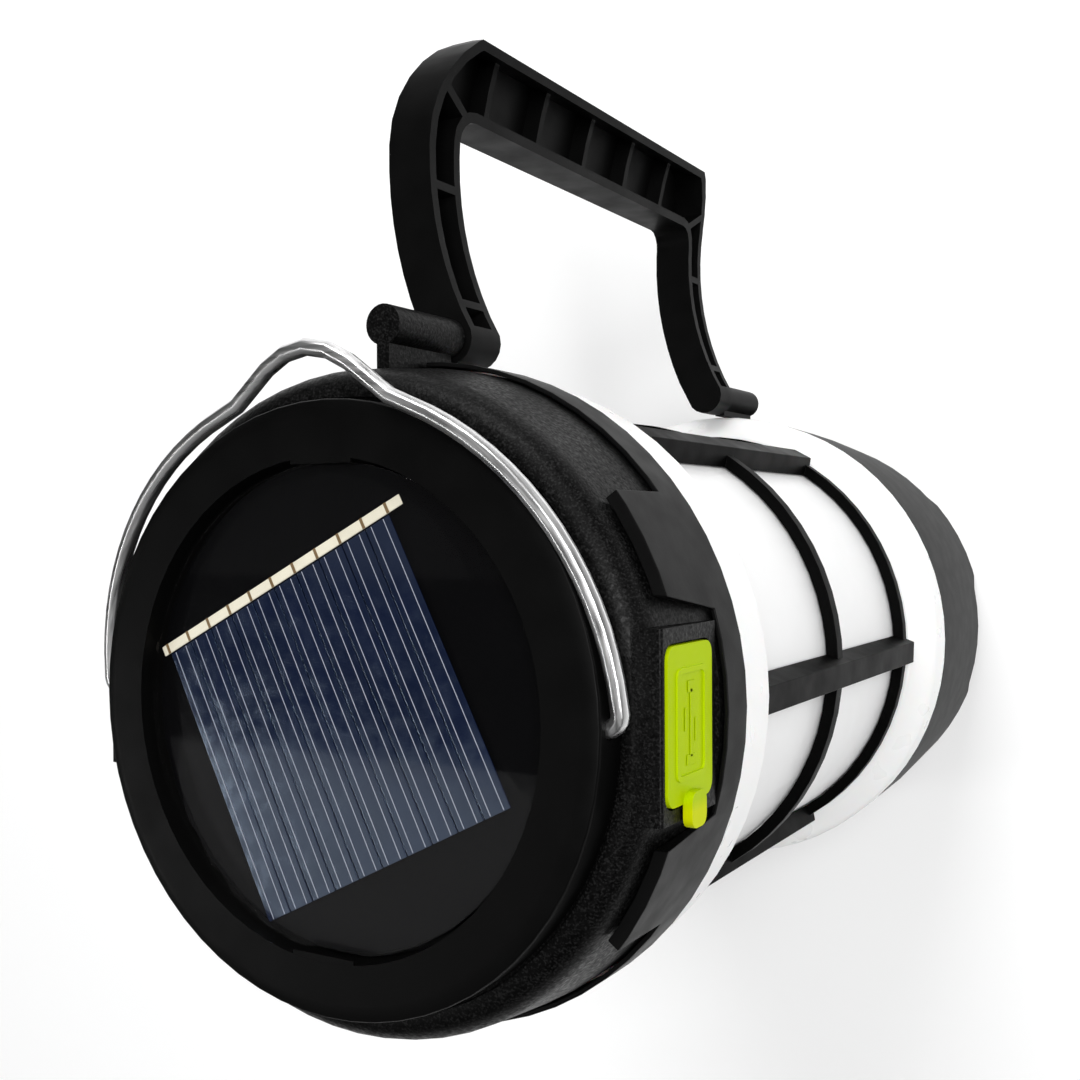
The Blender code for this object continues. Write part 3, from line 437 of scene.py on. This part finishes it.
def add_flap_symbol():
    """A plain raised sign on the flap: a stem with two arms, a head and a wide foot."""
    rubber = lime_rubber("raised_rubber", (0.37, 0.5, 0.0))
    low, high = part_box("usb_flap")
    middle = Vector((FLAP_FACE, -0.2 * MM, (low.z + high.z) / 2))
    strokes = (
        ("stem", (0, 0, 0), (8.6, 0.7)),
        ("head", (0, 4.6, 0), (1.5, 2.0)),
        ("left_arm", (0, 0.6, 1.6), (3.0, 0.7)),
        ("right_arm", (0, -1.0, -1.6), (3.0, 0.7)),
        ("foot", (0, -4.6, 0), (1.3, 2.6)),
    )
    for name, (x, y, z), (length, width) in strokes:
        place = middle + Vector((x, y, z)) * MM
        size = (0.1 * MM, length * MM, width * MM)
        piece = plates(f"flap_symbol_{name}", [place], size, rubber, "port_flap")
        round_edges(piece, 0.3 * MM)


def round_edges(piece, width):
    bevel = piece.modifiers.new("Round", "BEVEL")
    bevel.width = width
    bevel.segments = 3


def add_board_parts():
    """Chips, capacitors and terminals on the lower face of the main board."""
    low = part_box("main_board")[0].z
    black = simple("chip_resin", (0.02, 0.02, 0.02), 0.5)
    tan = simple("ceramic_part", (0.45, 0.33, 0.2), 0.5)
    chips = [(x * MM, y * MM, low - 0.8 * MM) for x, y in ((-22, 8), (-22, -8), (21, -14), (4, 24))]
    plates("board_chips", chips, (6 * MM, 5 * MM, 1.3 * MM), black, "lantern_body")
    small = [polar(26 * MM, radians(a)) for a in range(5, 360, 30)]
    places = [(x, y, low - 0.5 * MM) for x, y in small]
    plates("board_parts", places, (1.6 * MM, 2.4 * MM, 0.8 * MM), tan, "lantern_body")


def polar(radius, angle):
    return radius * cos(angle), radius * sin(angle)


# ---- Floor, light and camera ----------------------------------------------------------------------

# The camera looks down onto the solar panel from the USB side.
CAMERA_PLACE = Vector((113.1, 24.3, 328.1)) * MM
CAMERA_FORWARD = Vector((-0.502, -0.009, -0.865))
CAMERA_UP = Vector((0, 1, -0.010))
FOCAL_LENGTH = 43.16
SENSOR = 36.0
FLOOR_SIZE = 6
ROOM_LIGHT = 0.03


def make_camera():
    data = bpy.data.cameras.new("camera")
    data.lens = FOCAL_LENGTH
    data.sensor_width = SENSOR
    data.clip_start = 1 * MM
    camera = bpy.data.objects.new("camera", data)
    bpy.context.scene.collection.objects.link(camera)
    back = -CAMERA_FORWARD.normalized()
    right = CAMERA_UP.cross(back).normalized()
    up = back.cross(right)
    turn = Matrix((right, up, back)).transposed().to_4x4()
    camera.matrix_world = Matrix.Translation(CAMERA_PLACE) @ turn
    bpy.context.scene.camera = camera


def make_floor():
    bpy.ops.mesh.primitive_plane_add(size=FLOOR_SIZE, location=(0, 0, FLOOR_LEVEL))
    floor = bpy.context.object
    floor.name = "floor"
    floor.data.materials.append(new_material("floor", (0.97, 0.97, 0.97), 0.8))


def add_softbox(name, place, target, size, power):
    """A rectangular soft light that faces the target."""
    data = bpy.data.lights.new(name, "AREA")
    data.shape = "RECTANGLE"
    data.size, data.size_y = size
    data.energy = power
    lamp = bpy.data.objects.new(name, data)
    bpy.context.scene.collection.objects.link(lamp)
    lamp.location = place
    lamp.rotation_euler = (Vector(target) - Vector(place)).to_track_quat("-Z", "Y").to_euler()


def light_scene():
    """A dark room, a key light behind the camera, and soft lights for the glossy parts to mirror."""
    world = bpy.data.worlds.new("studio")
    bpy.context.scene.world = world
    world.use_nodes = True
    background = world.node_tree.nodes["Background"]
    background.inputs["Color"].default_value = (1, 1, 1, 1)
    background.inputs["Strength"].default_value = ROOM_LIGHT
    middle = (0, 0, 0.1)
    panel = Vector((0, 0, 190)) * MM
    add_softbox("key", (1.15, 0.25, 2.0), middle, (1.2, 1.2), 50)
    add_softbox("top", (-0.1, 1.3, 0.9), middle, (0.9, 0.9), 15)
    add_softbox("panel_low", (-0.95, -0.78, 1.2), (-0.95, -0.78, 0), (1.5, 1.1), 2.1)
    add_softbox("panel_high", (-0.95, 0.3, 1.2), (-0.95, 0.3, 0), (1.5, 0.66), 0.25)
    add_softbox("rim", (-1.16, -0.37, 1.05), panel, (0.3, 0.22), 2)
    bpy.context.scene.view_settings.view_transform = "Standard"


paint_nodes()
for node in NODES.values():
    soften(node)
add_cell_lines()
add_leds()
add_flap_symbol()
add_board_parts()
make_floor()
light_scene()
make_camera()
